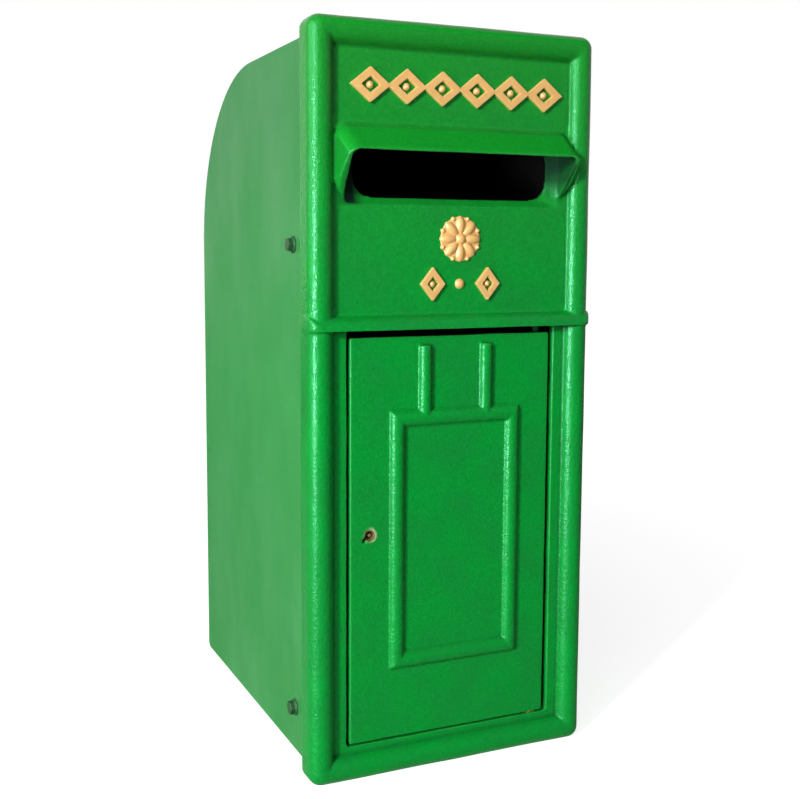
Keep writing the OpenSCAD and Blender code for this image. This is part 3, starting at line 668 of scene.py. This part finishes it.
def set_on_panel(piece, x_mm, z_mm, name):
    """Stands a relief drawn in X and Y on the casting's panel, rounds it and gives it gold."""
    upright = Matrix.Rotation(math.pi / 2, 4, "X")
    face = panel_face(x_mm, z_mm)
    piece.data.transform(Matrix.Scale(MM, 4))
    piece.data.transform(Matrix.Translation((x_mm * MM, face + SUNK_MM * MM, z_mm * MM)) @ upright)
    add_skin(piece, FINE_VOXEL_MM, 4)
    made = finished(piece, name)
    mark_curvature(made.data, 0.8, 4)
    shade_smooth(made.data)
    hand_over(made, "letter_box", "gilt_paint")


def frieze():
    """A band of linked lozenges with a pearl in each."""
    pitch = (FRIEZE_RIGHT_MM - FRIEZE_LEFT_MM) / FRIEZE_LINKS
    lozenge = mesh_object("lozenge", ring_lozenge(pitch + STROKE_MM / 2, FRIEZE_H_MM, STROKE_MM))
    pearl = mesh_object("pearl", boss(3.0, RELIEF_MM + SUNK_MM))
    link = joined("link", [(lozenge, Matrix.Identity(4)), (pearl, Matrix.Identity(4))])
    band = repeated("band", link, row_of, FRIEZE_LINKS, pitch)
    band.data.transform(Matrix.Translation((-pitch * (FRIEZE_LINKS - 1) / 2, 0, 0)))
    set_on_panel(band, (FRIEZE_LEFT_MM + FRIEZE_RIGHT_MM) / 2, FRIEZE_Z_MM, "gold_frieze")


def rosette():
    """An eight-petalled rosette with pearls between its tips, on a round ground."""
    petals = 8
    turn = 2 * math.pi / petals
    high = RELIEF_MM + SUNK_MM
    leaf_out_mm, tip_out_mm = 10.4, ROSETTE_R_MM - 2.6
    leaf = mesh_object("petal", boss(4.0, high + 0.6, length_mm=7.6))
    leaf.data.transform(Matrix.Translation((0, leaf_out_mm, 0)))
    tip = mesh_object("tip", boss(1.9, high - 0.6))
    tip.data.transform(Matrix.Rotation(turn / 2, 4, "Z") @ Matrix.Translation((0, tip_out_mm, 0)))
    ground = mesh_object("ground", relief(disc(ROSETTE_R_MM * 0.9), [], SUNK_MM + 0.9))
    eye = mesh_object("eye", boss(4.8, high + 1.4))
    parts = [repeated("petals", leaf, ring_of, petals, turn), repeated("tips", tip, ring_of, petals, turn),
             ground, eye]
    set_on_panel(joined("rosette", [(part, Matrix.Identity(4)) for part in parts]),
                 ROSETTE_X_MM, ROSETTE_Z_MM, "gold_rosette")


def small_row():
    """Two lozenges with a pearl in each and a larger one between them, under the rosette."""
    left, right = (mesh_object("small_lozenge", ring_lozenge(21, 26, 4.4)) for _ in range(2))
    pearls = [mesh_object("small_pearl", boss(r, RELIEF_MM + SUNK_MM)) for r in (2.6, 4.2, 2.6)]
    step = Matrix.Translation((ROW_PITCH_MM, 0, 0))
    back = Matrix.Translation((-ROW_PITCH_MM, 0, 0))
    row = joined("row", [(left, back), (right, step), (pearls[0], back), (pearls[1], Matrix.Identity(4)),
                         (pearls[2], step)])
    set_on_panel(row, ROSETTE_X_MM, ROW_Z_MM, "gold_row")


frieze()
rosette()
small_row()

# Bodies and finishes

remade = {
    "front_casting": (front, "letter_box", "cast_paint"),
    "door": (door, "door", "cast_paint"),
    "side_plate_left": (left_sheet, "letter_box", "case_paint"),
    "side_plate_right": (right_sheet, "letter_box", "case_paint"),
    "wrapped_sheet": (round_sheet, "letter_box", "case_paint"),
    "case_bolts": (painted_bolts(), "letter_box", "case_paint"),
    "upper_hinge_pin": (pin_in_painted_shade("upper_hinge_pin"), "letter_box", "cast_paint"),
    "lower_hinge_pin": (pin_in_painted_shade("lower_hinge_pin"), "letter_box", "cast_paint"),
}
for replaced, (piece, body, slot) in remade.items():
    hand_over(piece, body, slot, replaced)

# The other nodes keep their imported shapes
for part in frame["record"]["subparts"]:
    if part["node"] not in remade:
        packed = frame["nodes"][part["node"]].data
        packed.materials.clear()
        packed.materials.append(MATERIALS[part["material_slot"]])


# Studio

def floor():
    half = 6
    mesh = bpy.data.meshes.new("floor")
    mesh.from_pydata([(-half, -half, 0), (half, -half, 0), (half, half, 0), (-half, half, 0)], [],
                     [(0, 1, 2, 3)])
    mesh.materials.append(pale_studio_floor())
    new_object("floor", mesh)


def lamp(name, place, aim, size, watts, lights=True, shines=True):
    """A rectangular lamp that faces a point. It lights surfaces, is seen in their gloss, or both."""
    data = bpy.data.lights.new(name, "AREA")
    data.shape = "RECTANGLE"
    data.size, data.size_y = size
    data.energy = watts
    made = new_object(name, data)
    made.location = place
    made.rotation_euler = (Vector(aim) - Vector(place)).to_track_quat("-Z", "Y").to_euler()
    made.visible_diffuse = lights
    made.visible_glossy = shines


def surroundings():
    """White to the camera and in reflections, nearly black as light on the object."""
    world = bpy.data.worlds.new("studio")
    bpy.context.scene.world = world
    world.use_nodes = True
    tree = world.node_tree
    tree.nodes.clear()
    ray = add(tree, "ShaderNodeLightPath").outputs
    direct = combined(tree, "MAXIMUM", ray["Is Camera Ray"], ray["Is Glossy Ray"], ray["Is Transmission Ray"])
    level = ramp(tree, direct, 0.0, 1.0, first=0.05)
    sky = add(tree, "ShaderNodeBackground", {"Color": linear("#FFFFFF"), "Strength": level})
    add(tree, "ShaderNodeOutputWorld", {"Surface": sky.outputs[0]})


def camera():
    data = bpy.data.cameras.new("camera")
    data.sensor_width = SENSOR_MM
    data.lens = FOCAL_PX * SENSOR_MM / IMAGE_W
    data.shift_x = (IMAGE_W / 2 - PRINCIPAL_X) / IMAGE_W
    data.shift_y = (PRINCIPAL_Y - IMAGE_H / 2) / IMAGE_W
    data.clip_start, data.clip_end = 0.05, 30
    made = new_object("camera", data)
    made.location = CAMERA_PLACE
    made.rotation_euler = Euler([math.radians(a) for a in (90 - CAMERA_PITCH, -CAMERA_ROLL, -CAMERA_YAW)])
    bpy.context.scene.camera = made


floor()
surroundings()
camera()
lamp("key", (-2.01, -1.45, 1.05), BOX_FRONT, (0.28, 0.28), 66, shines=False)
lamp("window", (-1.69, -1.84, 1.4), BOX_FRONT, (1.3, 1.3), 20)
lamp("glint", (-2.14, -1.23, 0.78), BOX_FRONT, (0.12, 0.8), 20, lights=False)
lamp("low glint", (-2.14, -1.23, 0.16), (0, -0.14, 0.2), (0.5, 0.26), 135, lights=False)
lamp("sheen", (-2.2, -0.95, 1.15), (0, -0.14, 0.5), (4.0, 2.1), 240, lights=False)
bpy.context.scene.view_settings.view_transform = "Standard"
